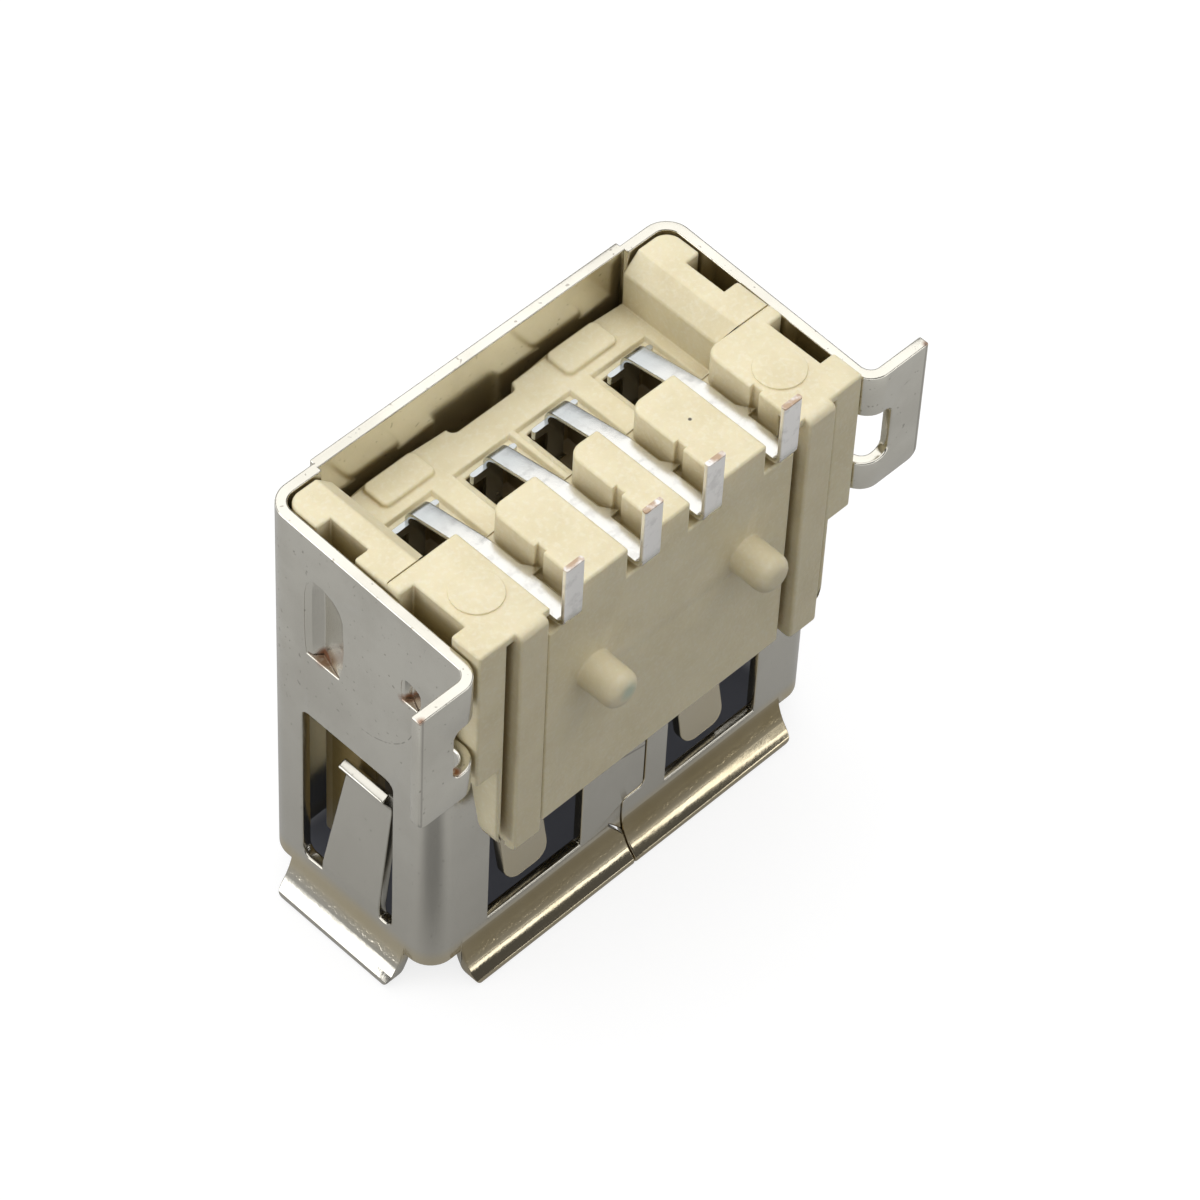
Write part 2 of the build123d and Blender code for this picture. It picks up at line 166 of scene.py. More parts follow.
class NodeSheet:
    """A node tree, and the nodes on it."""

    def __init__(self, tree: bpy.types.NodeTree) -> None:
        """Clears the tree.

        Args:
            tree: tree of a material, a world or a geometry modifier.
        """
        self.tree = tree
        self.tree.nodes.clear()
        self.centre: Wire | None = None

    @classmethod
    def of(cls, owner: object) -> "NodeSheet":
        """The sheet of a material or a world."""
        owner.use_nodes = True
        return cls(owner.node_tree)

    def add(self, kind: str, settings: dict | None = None, sockets: dict | None = None) -> Box:
        """Adds one node.

        Args:
            kind: the node's type.
            settings: the node's own settings, set first.
            sockets: values or wires for its inputs, by name or number.

        Returns:
            The node.
        """
        node = self.tree.nodes.new(kind)
        for name, value in (settings or {}).items():
            setattr(node, name, value)
        for name, value in (sockets or {}).items():
            if isinstance(value, Wire):
                self.tree.links.new(value.socket, node.inputs[name])
            else:
                node.inputs[name].default_value = value
        return Box(self, node)

    def blend(self, amount: object, first: object, second: object) -> Wire:
        """Mixes two colours.

        Args:
            amount: share of the second colour.
            first: a colour or a wire.
            second: a colour or a wire.

        Returns:
            The mixed colour.
        """
        first, second = (
            value if isinstance(value, Wire) else (*value, 1.0) for value in (first, second)
        )
        return self.add(
            "ShaderNodeMix",
            {"data_type": "RGBA", "clamp_factor": True},
            {0: amount, 6: first, 7: second},
        ).out(2)

    def layers(self, base: object, rows: tuple) -> Wire:
        """Lays colours over one another.

        Args:
            base: the lowest colour.
            rows: pairs of an amount and a colour, from the lowest up.

        Returns:
            The colour that shows.
        """
        for amount, colour in rows:
            base = self.blend(amount, base, colour)
        return base

    def where(self) -> Wire:
        """Reads the object coordinates, through one node for the whole sheet.

        Returns:
            The coordinates, in metres.
        """
        if self.centre is None:
            self.centre = self.add("ShaderNodeTexCoord").out("Object")
        return self.centre

    def place(self) -> tuple[Wire, ...]:
        """The three object coordinates, in millimetres."""
        split = self.add("ShaderNodeSeparateXYZ", {}, {0: self.where()})
        return tuple(split.out(name) * (1 / MM) for name in "XYZ")

    def noise(self, per_mm: float, detail: float, scale: tuple = (1.0, 1.0, 1.0)) -> Wire:
        """Noise on object coordinates.

        Args:
            per_mm: how many cells there are in a millimetre.
            detail: octaves.
            scale: stretch along each axis.

        Returns:
            The noise, from 0 to 1.
        """
        place = self.add("ShaderNodeMapping", {}, {"Vector": self.where(), "Scale": scale})
        return self.add(
            "ShaderNodeTexNoise",
            {},
            {
                "Vector": place.out("Vector"),
                "Scale": per_mm / MM,
                "Detail": detail,
                "Roughness": 0.55,
            },
        ).out(0)

    def spot(self, spot: Spot) -> Wire:
        """Makes the mask of a spot.

        Args:
            spot: the spot.

        Returns:
            One at its place, nought away from it.
        """
        away = self.add(
            "ShaderNodeVectorMath",
            {"operation": "DISTANCE"},
            {0: self.where(), 1: tuple(value * MM for value in spot.place)},
        ).out("Value")
        return 1.0 - away.rise(spot.inner * MM, spot.outer * MM)

    def bump(self, height: object, depth_mm: float) -> Wire:
        """Bends the normal.

        Args:
            height: height of the surface, as a share of the depth.
            depth_mm: depth of the bump.

        Returns:
            The bent normal.
        """
        sockets = {"Height": height, "Distance": depth_mm * MM, "Strength": 1.0}
        return self.add("ShaderNodeBump", {}, sockets).out("Normal")

    def surface(self, **sockets: object) -> Box:
        """A Principled BSDF joined to the output.

        Args:
            sockets: its inputs, with underscores for spaces.

        Returns:
            The shader.
        """
        shader = self.add(
            "ShaderNodeBsdfPrincipled",
            {},
            {name.replace("_", " "): value for name, value in sockets.items()},
        )
        self.add("ShaderNodeOutputMaterial", {}, {"Surface": shader.out("BSDF")})
        return shader

    def carried(self, title: str) -> Wire:
        """A size that the points of a geometry tree carry."""
        settings, sockets = {"data_type": "FLOAT"}, {"Name": title}
        return self.add("GeometryNodeInputNamedAttribute", settings, sockets).out(0)


@dataclass(frozen=True)
class Nickel:
    """Plated sheet with rolling lines, small pits and torn edges that show the base metal, plus
    painted shade and painted reflections.

    Places are in millimetres.
    """

    name: str = "nickel"
    colour: tuple = (0.75, 0.725, 0.645)
    shade: tuple = (0.66, 0.635, 0.56)
    pit: tuple = (0.16, 0.13, 0.10)
    copper: tuple = (0.30, 0.13, 0.06)
    # painted shade: the sheet turns darker towards its bottom
    low: tuple = (0.57, 0.55, 0.49)
    # painted reflection, gold-toned, on the lips and the board-side springs
    painted_golden_reflection: tuple = (0.66, 0.56, 0.35)
    # painted dark brown reflection in the board-side lip
    painted_brown_reflection: tuple = (0.30, 0.235, 0.12)
    burr: tuple = (0.20, 0.14, 0.09)
    # colour of the scratches and of the painted edge-shade line on the flanges
    scored_and_edge_shade: tuple = (0.14, 0.12, 0.10)
    roughness: float = 0.20
    bump_mm: float = 0.002
    torn: tuple = (
        Spot((-6.30, 0.95, 9.58), 0.16, 0.34),
        Spot((-6.35, -1.80, 10.78), 0.13, 0.28),
        Spot((-8.20, -4.12, 13.60), 0.06, 0.22),
        Spot((-6.95, -3.95, 10.45), 0.05, 0.20),
        Spot((6.30, 0.98, 9.50), 0.10, 0.30),
        Spot((6.35, -1.75, 10.68), 0.08, 0.24),
        Spot((8.20, -4.12, 13.60), 0.06, 0.20),
    )
    tick: Spot = Spot((-6.55, -2.24, 9.30), 0.02, 0.07)
    # heights over which the painted shade at the bottom fades out
    low_z: tuple = (1.6, 11.5)
    # heights of the lips, which carry the painted reflections
    lip_top: tuple = (1.15, 1.65)
    lip_bend: tuple = (0.55, 1.05)
    lip_edge: tuple = (0.55, 0.85)
    front_y: float = -2.87
    # place of the painted gold reflection on the board-side springs
    finger_y: tuple = (-2.84, -1.9)
    finger_z: tuple = (1.75, 6.5)
    finger_x: float = 5.6
    speckled_z: float = 0.80
    barb_x: tuple = (5.80, 6.53)
    barb_low: float = 9.25
    barbs: tuple = ((0.06, 1.56, 9.62), (-2.67, -1.47, 10.84))
    arc_place: tuple = (-0.30, 10.35)
    arc_r: float = 1.93
    arc_x: float = -6.50
    # painted edge-shade line on the face of each flange, near its rounded outer edge
    edge_shade_x: float = 8.16
    bend_y: float = -4.05
    cut_place: tuple = (0.10, 3.85)
    cut_slope: float = 0.22

    def make(self) -> bpy.types.Material:
        """Builds the material.

        Returns:
            The material.
        """
        material = bpy.data.materials.new(self.name)
        sheet = NodeSheet.of(material)
        _, y, z = sheet.place()
        lines = sheet.noise(11.0, 2.0, Grain.UP.value)
        clouds = sheet.noise(0.45, 4.0)
        bare = self.bare(sheet)
        mark = self.scratches_and_edge_shade(sheet)
        lip = 1.0 - z.rise(*self.lip_top)
        # painted brown reflection on the board-side lip, strongest in its upper bend
        painted_brown_reflection = lip * (y < self.front_y) * (0.45 + 0.5 * z.rise(*self.lip_edge))
        speckles = z.line(self.speckled_z, 0.06, 0.20) * sheet.noise(9.0, 3.0)
        colour = sheet.layers(
            self.colour,
            (
                (clouds.rise(0.35, 0.7), self.shade),
                (sheet.noise(7.0, 1.0).rise(0.70, 0.76) * 0.45, self.pit),
                (bare * sheet.noise(6.0, 2.0).rise(0.2, 0.42), self.copper),
                # painted shade, darker towards the bottom of the shell
                ((1.0 - z.rise(*self.low_z)) * 0.75, self.low),
                # painted gold reflection on the lips and the board-side springs
                (self.painted_reflection_mask(sheet, lip) * (0.35 + 0.6 * clouds), self.painted_golden_reflection),
                # painted brown reflection on the board-side lip
                (painted_brown_reflection * (0.55 + 0.5 * clouds), self.painted_brown_reflection),
                (self.burrs(sheet) * 0.8, self.burr),
                # scratches, the tab cut and the painted edge-shade line on each flange
                (mark * 0.6, self.scored_and_edge_shade),
            ),
        )
        rough = self.roughness + 0.12 * (clouds - 0.5) + 0.06 * (lines - 0.5)
        sheet.surface(
            Base_Color=colour,
            Metallic=1.0,
            Roughness=rough + 0.25 * bare - 0.09 * lip,
            Normal=sheet.bump(lines * 0.5 + clouds * 6.0 - mark + speckles * 9.0, self.bump_mm),
        )
        return material

    def bare(self, sheet: NodeSheet) -> Wire:
        """Makes the mask of the torn spots.

        Args:
            sheet: sheet of the material.

        Returns:
            One where the base metal shows.
        """
        found = sheet.spot(self.torn[0])
        for spot in self.torn[1:]:
            found = found.larger(sheet.spot(spot))
        return found

    def painted_reflection_mask(self, sheet: NodeSheet, lip: Wire) -> Wire:
        """Makes the mask of the painted gold reflection on the lips and on the springs of the
        board side.

        Args:
            sheet: sheet of the material.
            lip: mask of the lips.

        Returns:
            How strong the painted gold reflection is.
        """
        x, y, z = sheet.place()
        finger = y.within(*self.finger_y) * z.within(*self.finger_z) * (abs(x) < self.finger_x)
        bend = z.rise(*self.lip_bend).larger((y < self.front_y) * 0.85)
        return (lip * bend).larger(finger * 0.8)

    def burrs(self, sheet: NodeSheet) -> Wire:
        """Makes the mask of the dark feet of the pressed barbs.

        Args:
            sheet: sheet of the material.

        Returns:
            One on a foot.
        """
        x, y, z = sheet.place()
        (y0, y1, top), (small_y0, small_y1, small_top) = self.barbs
        large = y.within(y0, y1) * (z < top)
        small = y.within(small_y0, small_y1) * (z < small_top)
        return abs(x).within(*self.barb_x) * large.larger(small) * (z > self.barb_low)

    def scratches_and_edge_shade(self, sheet: NodeSheet) -> Wire:
        """Makes the mask of the fine lines.

        They are a broken arc and a tick on the -X wall, which are scratches, a painted dark line
        of edge shade near the rounded outer edge of each flange, and the top cut of the joint's
        tab.

        Args:
            sheet: sheet of the material.

        Returns:
            One on a line.
        """
        x, y, z = sheet.place()
        arc_y, arc_z = y - self.arc_place[0], z - self.arc_place[1]
        ring = (arc_y * arc_y + arc_z * arc_z).root().line(self.arc_r, 0.0, 0.022)
        part = (x < self.arc_x) * (arc_z < 0.2) * (arc_y < -0.15)
        broken = sheet.noise(4.0, 1.0).rise(0.42, 0.52)
        # painted dark line of edge shade near the rounded outer edge of each flange
        painted_edge_shade = abs(x).line(self.edge_shade_x, 0.01, 0.045) * (y < self.bend_y)
        middle, height = self.cut_place
        wall = (y < -2.8) * (abs(x - middle) < 0.55) * (z < 4.4)
        cut = (z + self.cut_slope * x).line(height, 0.012, 0.04) * wall
        tick = sheet.spot(self.tick)
        return (ring * part * broken).larger(painted_edge_shade * 0.6).larger(cut).larger(tick)


@dataclass(frozen=True)
class Cream:
    """Matt moulded plastic, slightly mottled, with painted shade in its corners and hollows, on
    the board face, low on the legs, in the wells and in the side notches.

    Places are in millimetres.
    """

    name: str = "cream_plastic"
    colour: tuple = (0.86, 0.77, 0.525)
    shade: tuple = (0.79, 0.695, 0.45)
    pale: tuple = (0.93, 0.88, 0.72)
    # painted shade on the board face
    board: tuple = (0.64, 0.565, 0.385)
    # painted shade on the lower legs
    painted_leg_shade: tuple = (0.50, 0.42, 0.31)
    # painted shade for corners, creases and the side notches
    painted_deep_shade: tuple = (0.33, 0.235, 0.075)
    # painted shade far down in the wells
    dark: tuple = (0.10, 0.065, 0.02)
    black: tuple = (0.05, 0.04, 0.03)
    turquoise: tuple = (0.20, 0.50, 0.48)
    roughness: float = 0.42
    bump_mm: float = 0.006
    # reach of the painted corner shade
    corner: float = 1.3
    # depths over which the painted shade of the board face fades
    board_y: tuple = (-4.0, -3.8)
    leg_x: float = 5.12
    leg_y: float = -0.9
    leg_z: tuple = (4.2, 7.0)
    well_y: tuple = (-0.84, 1.6)
    well_z: float = 11.97
    notch_x: float = 5.3
    notch_y: float = -3.0
    notch_z: tuple = (12.7, 13.68)
    speck: Spot = Spot((2.27, -2.11, 13.8), 0.03, 0.06)
    peg_mark: Spot = Spot((-2.42, -5.0, 10.40), 0.05, 0.38)

    def make(self) -> bpy.types.Material:
        """Builds the material.

        Returns:
            The material.
        """
        material = bpy.data.materials.new(self.name)
        sheet = NodeSheet.of(material)
        x, y, z = sheet.place()
        grain = sheet.noise(9.0, 3.0)
        clouds = sheet.noise(0.9, 4.0)
        reach = {"Distance": self.corner * MM}
        # painted shade in corners and creases, from ambient occlusion
        painted_corner_shade = 1.0 - sheet.add("ShaderNodeAmbientOcclusion", {"samples": 8}, reach).out("AO")
        # painted shade on the legs, darker towards their bottom
        painted_leg_shade = (abs(x) > self.leg_x) * (y < self.leg_y) * (1.0 - z.rise(*self.leg_z))
        # painted shade inside the wells
        well = y.within(*self.well_y) * (z < self.well_z)
        # painted shade in the side notches
        notch = (abs(x) > self.notch_x) * (y > self.notch_y) * (1.0 - z.rise(*self.notch_z))
        colour = sheet.layers(
            self.colour,
            (
                (clouds.rise(0.35, 0.75), self.shade),
                (sheet.noise(8.0, 3.0).rise(0.45, 0.72) * 0.35, self.pale),
                # painted shade in corners and creases
                (painted_corner_shade.rise(0.45, 0.90) * 0.85, self.painted_deep_shade),
                # painted shade on the board face
                ((1.0 - y.rise(*self.board_y)) * 0.30, self.board),
                # painted shade on the lower legs
                (painted_leg_shade * 0.50, self.painted_leg_shade),
                # painted shade inside the wells
                (well * 0.93, self.dark),
                # painted shade in the side notches
                (notch * 0.8, self.painted_deep_shade),
                (sheet.spot(self.speck) * 0.9, self.black),
                (sheet.spot(self.peg_mark) * 0.35, self.turquoise),
            ),
        )
        sheet.surface(
            Base_Color=colour,
            Roughness=self.roughness + 0.16 * (grain - 0.5),
            Normal=sheet.bump(grain * 1.6 + clouds * 2.5, self.bump_mm),
            Subsurface_Weight=0.20,
            Subsurface_Radius=(1.0, 0.75, 0.35),
            Subsurface_Scale=0.30 * MM,
        )
        return material


@dataclass(frozen=True)
class Tin:
    """Bright tinned strip: matt at the feet, with bare copper at their sheared ends, painted
    blue-grey shade towards the riser end and darker brown at the lower outer bends.

    Places are in millimetres.
    """

    name: str = "tinned"
    colour: tuple = (0.74, 0.73, 0.69)
    dull: tuple = (0.90, 0.885, 0.86)
    # painted blue-grey shade towards the riser end
    painted_rear_shade: tuple = (0.47, 0.50, 0.51)
    blot: tuple = (0.46, 0.45, 0.43)
    copper: tuple = (0.52, 0.38, 0.27)
    # darker brown at the lower outer bend where each strip turns up into its foot
    brown_at_bend: tuple = (0.30, 0.20, 0.12)
    roughness: float = 0.24
    bump_mm: float = 0.0016
    # span over which the painted shade towards the riser fades in
    rear_y: tuple = (-0.9, 0.7)
    foot_y: tuple = (-4.02, -3.92)
    foot_z: tuple = (13.30, 13.55)
    end_z: tuple = (15.03, 15.07)
    bend_y: tuple = (-4.16, -4.02)
    bend_z: tuple = (13.12, 13.34)

    def make(self) -> bpy.types.Material:
        """Builds the material.

        Returns:
            The material.
        """
        material = bpy.data.materials.new(self.name)
        sheet = NodeSheet.of(material)
        _, y, z = sheet.place()
        lines = sheet.noise(9.0, 2.0, Grain.ACROSS.value)
        blots = sheet.noise(3.0, 3.0)
        foot = z.rise(*self.foot_z) * (1.0 - y.rise(*self.foot_y))
        bend = (1.0 - z.rise(*self.bend_z)) * (1.0 - y.rise(*self.bend_y))
        colour = sheet.layers(
            self.colour,
            (
                (foot, self.dull),
                # painted blue-grey shade towards the riser end
                (y.rise(*self.rear_y) * 0.8, self.painted_rear_shade),
                (blots.rise(0.5, 0.7) * 0.3, self.blot),
                (z.rise(*self.end_z) * blots.rise(0.35, 0.6), self.copper),
                # darker brown at the lower outer bend of each strip
                (bend * 0.85, self.brown_at_bend),
            ),
        )
        sheet.surface(
            Base_Color=colour,
            Metallic=1.0,
            Roughness=self.roughness + 0.16 * (blots - 0.5) + 0.20 * foot,
            Normal=sheet.bump(lines * 0.5 + blots * 2.0, self.bump_mm),
        )
        return material


def added(name: str, data: bpy.types.ID) -> bpy.types.Object:
    """Adds an object to the scene.

    Args:
        name: its name.
        data: its mesh, lamp or camera.

    Returns:
        The object.
    """
    thing = bpy.data.objects.new(name, data)
    bpy.context.scene.collection.objects.link(thing)
    return thing


def plain_mesh(piece: bpy.types.Object) -> None:
    """Turns a piece's modifiers into its mesh.

    Args:
        piece: the piece.
    """
    bpy.context.view_layer.update()
    ready = piece.evaluated_get(bpy.context.evaluated_depsgraph_get())
    done = bpy.data.meshes.new_from_object(ready)
    piece.modifiers.clear()
    piece.data = done
    done.name = piece.name


def smooth(piece: bpy.types.Object, sharp_deg: float) -> None:
    """Shades a piece smooth.

    Args:
        piece: the piece.
        sharp_deg: edges with more than this turn stay sharp.
    """
    piece.data.shade_smooth()
    piece.data.set_sharp_from_angle(angle=math.radians(sharp_deg))


def dress(piece: bpy.types.Object, material: bpy.types.Material, node: str) -> None:
    """Gives a piece its finish and puts it in place of a CAD node.

    Args:
        piece: the piece.
        material: its finish.
        node: CAD node that it replaces.
    """
    piece.data.materials.clear()
    piece.data.materials.append(material)
    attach(piece, "root")
    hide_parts(node)


@dataclass
class SoftEdges:
    """Rounds the edges of a copy of a CAD node, less where a step is low."""

    width_mm: float
    segments: int = 3
    sharp_deg: float = 32.0
    share: float = 0.45
    inner: float = 0.6
    straight: float = 0.8
    slack: float = 0.97
    merged_m: float = 2e-7
    shortest_m: float = 1e-7

    def is_sharp(self, edge: bmesh.types.BMEdge) -> bool:
        """True for an edge that is rounded."""
        return edge.is_manifold and edge.calc_face_angle() > math.radians(self.sharp_deg)

    def regions(self, work: bmesh.types.BMesh) -> dict[int, int]:
        """Numbers the faces by smooth region.

        Args:
            work: the mesh.

        Returns:
            The region of each face, by the face's index.
        """
        found: dict[int, int] = {}
        for seed in work.faces:
            if seed.index in found:
                continue
            found[seed.index] = seed.index
            waiting = [seed]
            while waiting:
                for edge in waiting.pop().edges:
                    if not edge.is_manifold or self.is_sharp(edge):
                        continue
                    for face in edge.link_faces:
                        if face.index not in found:
                            found[face.index] = seed.index
                            waiting.append(face)
        return found

    def weigh(self, work: bmesh.types.BMesh) -> None:
        """Gives each sharp edge a share of the width, by the narrower of the faces beside it.

        Args:
            work: the mesh.
        """
        layer = work.edges.layers.float.new("bevel_weight_edge")
        region = self.regions(work)
        sharp = [edge for edge in work.edges if self.is_sharp(edge)]
        area = dict.fromkeys(region.values(), 0.0)
        rim = dict.fromkeys(region.values(), 0.0)
        for face in work.faces:
            area[region[face.index]] += face.calc_area()
        for edge in sharp:
            for face in edge.link_faces:
                rim[region[face.index]] += edge.calc_length()
        for edge in sharp:
            beside = [region[face.index] for face in edge.link_faces]
            breadth = min(2 * area[part] / rim[part] for part in beside)
            amount = min(1.0, self.share * breadth / (self.width_mm * MM))
            edge[layer] = amount if edge.is_convex else amount * self.inner
        while self.level(sharp, layer):
            pass

    def level(self, sharp: list[bmesh.types.BMEdge], layer: bmesh.types.BMLayerItem) -> bool:
        """Brings edges that run on into each other down to the lesser share.

        Args:
            sharp: the edges that are rounded.
            layer: the layer that holds their shares.

        Returns:
            True while a share still changed.
        """
        changed = False
        for edge in sharp:
            line = edge.verts[1].co - edge.verts[0].co
            beside = (other for vert in edge.verts for other in vert.link_edges)
            for near in (other for other in beside if other is not edge):
                along = near.verts[1].co - near.verts[0].co
                runs_on = abs(line.dot(along)) > self.straight * line.length * along.length
                if runs_on and 0.0 < near[layer] < self.slack * edge[layer]:
                    edge[layer] = near[layer]
                    changed = True
        return changed

    def merged(self, name: str, node: str) -> bpy.types.Mesh:
        """Copies a node's mesh as one joined skin, with the shares on its edges.

        Args:
            name: name of the new mesh.
            node: CAD node that it is copied from.

        Returns:
            The copy.
        """
        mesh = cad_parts[node].data.copy()
        mesh.name = name
        for key in ("sharp_face", "sharp_edge", "custom_normal"):
            if key in mesh.attributes:
                mesh.attributes.remove(mesh.attributes[key])
        work = bmesh.new()
        work.from_mesh(mesh)
        bmesh.ops.remove_doubles(work, verts=work.verts, dist=self.merged_m)
        bmesh.ops.dissolve_degenerate(work, edges=work.edges, dist=self.shortest_m)
        work.faces.index_update()
        self.weigh(work)
        work.to_mesh(mesh)
        work.free()
        return mesh

    def copy(self, name: str, node: str) -> bpy.types.Object:
        """Copies a node and rounds its edges.

        Args:
            name: name of the new piece.
            node: CAD node that it is copied from.

        Returns:
            The rounded piece, at the origin.
        """
        piece = added(name, self.merged(name, node))
        bevel = piece.modifiers.new("edges", "BEVEL")
        bevel.width = self.width_mm * MM
        bevel.segments = self.segments
        bevel.limit_method = "WEIGHT"
        bevel.offset_type = "WIDTH"
        bevel.use_clamp_overlap = False
        bevel.loop_slide = False
        plain_mesh(piece)
        smooth(piece, self.sharp_deg)
        level = piece.modifiers.new("level", "WEIGHTED_NORMAL")
        level.keep_sharp = True
        level.weight = 80
        plain_mesh(piece)
        return piece


@dataclass
class Shell:
    """Folded shell."""

    edges: SoftEdges = field(default_factory=lambda: SoftEdges(0.075))
    nickel: Nickel = field(default_factory=Nickel)

    def build(self) -> list[bpy.types.Object]:
        """Builds the shell.

        Returns:
            Its one piece.
        """
        piece = self.edges.copy("folded_shell", "shell")
        dress(piece, self.nickel.make(), "shell")
        return [piece]


@dataclass
class Housing:
    """Moulded housing."""

    edges: SoftEdges = field(default_factory=lambda: SoftEdges(0.11))
    cream: Cream = field(default_factory=Cream)

    def build(self) -> list[bpy.types.Object]:
        """Builds the housing.

        Returns:
            Its one piece.
        """
        piece = self.edges.copy("moulded_housing", "housing")
        dress(piece, self.cream.make(), "housing")
        return [piece]


@dataclass
class Contacts:
    """The four stamped contacts: each a ribbon that follows one path from blade to foot."""

    places_mm: tuple = (-3.50, -1.00, 1.00, 3.50)
    strip_mm: float = 0.58
    metal_mm: float = 0.15
    edge_mm: float = 0.045
    blade_mm: float = 1.00
    shoulder_mm: float = 1.44
    hook_mm: float = 0.27
    merged_m: float = 1e-7
    sharp_deg: float = 38.0
    tin: Tin = field(default_factory=Tin)

    def stations(self) -> tuple:
        """Lists the points of the path, from the blade's tip to the foot's end.

        Returns:
            Rows of y, z, bend radius, width and reach of the hook, in millimetres.
        """
        strip, blade, shoulder = self.strip_mm, self.blade_mm, self.shoulder_mm
        return (
            (-0.02, 2.00, 0.0, blade, 0.0),
            (-0.02, 9.28, 0.0, blade, 0.0),
            (-0.02, 9.30, 0.0, strip, 0.0),
            (-0.02, 9.60, 0.30, strip, 0.0),
            (0.98, 10.70, 0.30, strip, 0.0),
            (0.98, 12.05, 0.0, strip, 0.0),
            (0.98, 12.07, 0.0, shoulder, 0.0),
            (0.98, 12.33, 0.0, shoulder, 0.0),
            (0.98, 12.34, 0.0, strip, 0.0),
            (0.98, 12.68, 0.30, strip, 0.0),
            (-1.20, 13.10, 0.80, strip, 0.0),
            (-2.15, 13.10, 0.0, strip, 0.0),
            (-2.56, 13.10, 0.0, strip, self.hook_mm),
            (-2.58, 13.10, 0.0, strip, 0.0),
            (-4.08, 13.10, 0.25, strip, 0.0),
            (-4.08, 15.10, 0.0, strip, 0.0),
        )

    def path(self, name: str) -> bpy.types.Object:
        """Builds the path as a chain of edges that carries the sizes.

        Args:
            name: name of the piece that grows from it.

        Returns:
            The chain.
        """
        rows = self.stations()
        mesh = bpy.data.meshes.new(name)
        points = [(0, y * MM, z * MM) for y, z, *_ in rows]
        mesh.from_pydata(points, [(i, i + 1) for i in range(len(rows) - 1)], [])
        for title, values in (
            ("bend", [row[2] * MM for row in rows]),
            ("spread", [row[3] / self.strip_mm for row in rows]),
            ("hook", [row[4] * MM for row in rows]),
        ):
            layer = mesh.attributes.new(title, "FLOAT", "POINT")
            layer.data.foreach_set("value", values)
        return added(name, mesh)

    def ribbon(self) -> bpy.types.NodeTree:
        """Builds the tree that sweeps the stamped section along the path.

        Returns:
            The geometry tree.
        """
        tree = bpy.data.node_groups.new("stamped ribbon", "GeometryNodeTree")
        face = tree.interface
        face.new_socket("Geometry", in_out="INPUT", socket_type="NodeSocketGeometry")
        for title in ("Width", "Thickness", "Edge", "Place"):
            face.new_socket(title, in_out="INPUT", socket_type="NodeSocketFloat")
        face.new_socket("Finish", in_out="INPUT", socket_type="NodeSocketMaterial")
        face.new_socket("Geometry", in_out="OUTPUT", socket_type="NodeSocketGeometry")
        sheet = NodeSheet(tree)
        sizes = sheet.add("NodeGroupInput")
        line = sheet.add("GeometryNodeMeshToCurve", {}, {"Mesh": sizes.out("Geometry")})
        bent = sheet.add(
            "GeometryNodeFilletCurve",
            {"mode": "POLY"},
            {
                "Curve": line.out("Curve"),
                "Count": 10,
                "Radius": sheet.carried("bend"),
                "Limit Radius": True,
            },
        )
        section = sheet.add(
            "GeometryNodeCurvePrimitiveQuadrilateral",
            {"mode": "RECTANGLE"},
            {"Width": sizes.out("Width"), "Height": sizes.out("Thickness")},
        )
        soft = sheet.add(
            "GeometryNodeFilletCurve",
            {"mode": "POLY"},
            {"Curve": section.out("Curve"), "Count": 4, "Radius": sizes.out("Edge")},
        )
        swept = sheet.add(
            "GeometryNodeCurveToMesh",
            {},
            {"Curve": bent.out("Curve"), "Profile Curve": soft.out("Curve"), "Fill Caps": True},
        )
        moved = sheet.add(
            "GeometryNodeSetPosition",
            {},
            {"Geometry": swept.out("Mesh"), "Position": self.spread(sheet, sizes.out("Place"))},
        )
        real = sheet.add("GeometryNodeRealizeInstances", {}, {"Geometry": moved.out("Geometry")})
        done = sheet.add(
            "GeometryNodeSetMaterial",
            {},
            {"Geometry": real.out("Geometry"), "Material": sizes.out("Finish")},
        )
        sheet.add("NodeGroupOutput", {}, {"Geometry": done.out("Geometry")})
        return tree

    def spread(self, sheet: NodeSheet, aside: Wire) -> Wire:
        """Widens the ribbon as its path says and moves it to its channel.

        Args:
            sheet: sheet of the tree.
            aside: the contact's place along X.

        Returns:
            The place of each point.
        """
        here = sheet.add("GeometryNodeInputPosition").out(0)
        split = sheet.add("ShaderNodeSeparateXYZ", {}, {0: here})
        across = split.out("X")
        hook = (across > 0.0) * sheet.carried("hook")
        moved = across * sheet.carried("spread") + hook + aside
        sockets = {"X": moved, "Y": split.out("Y"), "Z": split.out("Z")}
        return sheet.add("ShaderNodeCombineXYZ", {}, sockets).out(0)

    def build(self) -> list[bpy.types.Object]:
        """Builds the contacts.

        Returns:
            The four pieces.
        """
        tin = self.tin.make()
        tree = self.ribbon()
        items = [item for item in tree.interface.items_tree if item.in_out == "INPUT"]
        inputs = {item.name: item.identifier for item in items}
        made = []
        for number, place in enumerate(self.places_mm, 1):
            piece = self.path(f"stamped_contact_{number}")
            grow = piece.modifiers.new("ribbon", "NODES")
            grow.node_group = tree
            for title, value in (
                ("Width", self.strip_mm * MM),
                ("Thickness", self.metal_mm * MM),
                ("Edge", self.edge_mm * MM),
                ("Place", place * MM),
                ("Finish", tin),
            ):
                grow[inputs[title]] = value
            plain_mesh(piece)
            work = bmesh.new()
            work.from_mesh(piece.data)
            bmesh.ops.remove_doubles(work, verts=work.verts, dist=self.merged_m)
            bmesh.ops.recalc_face_normals(work, faces=work.faces)
            work.to_mesh(piece.data)
            work.free()
            smooth(piece, self.sharp_deg)
            dress(piece, tin, f"contact_{number}")
            made.append(piece)
        return made


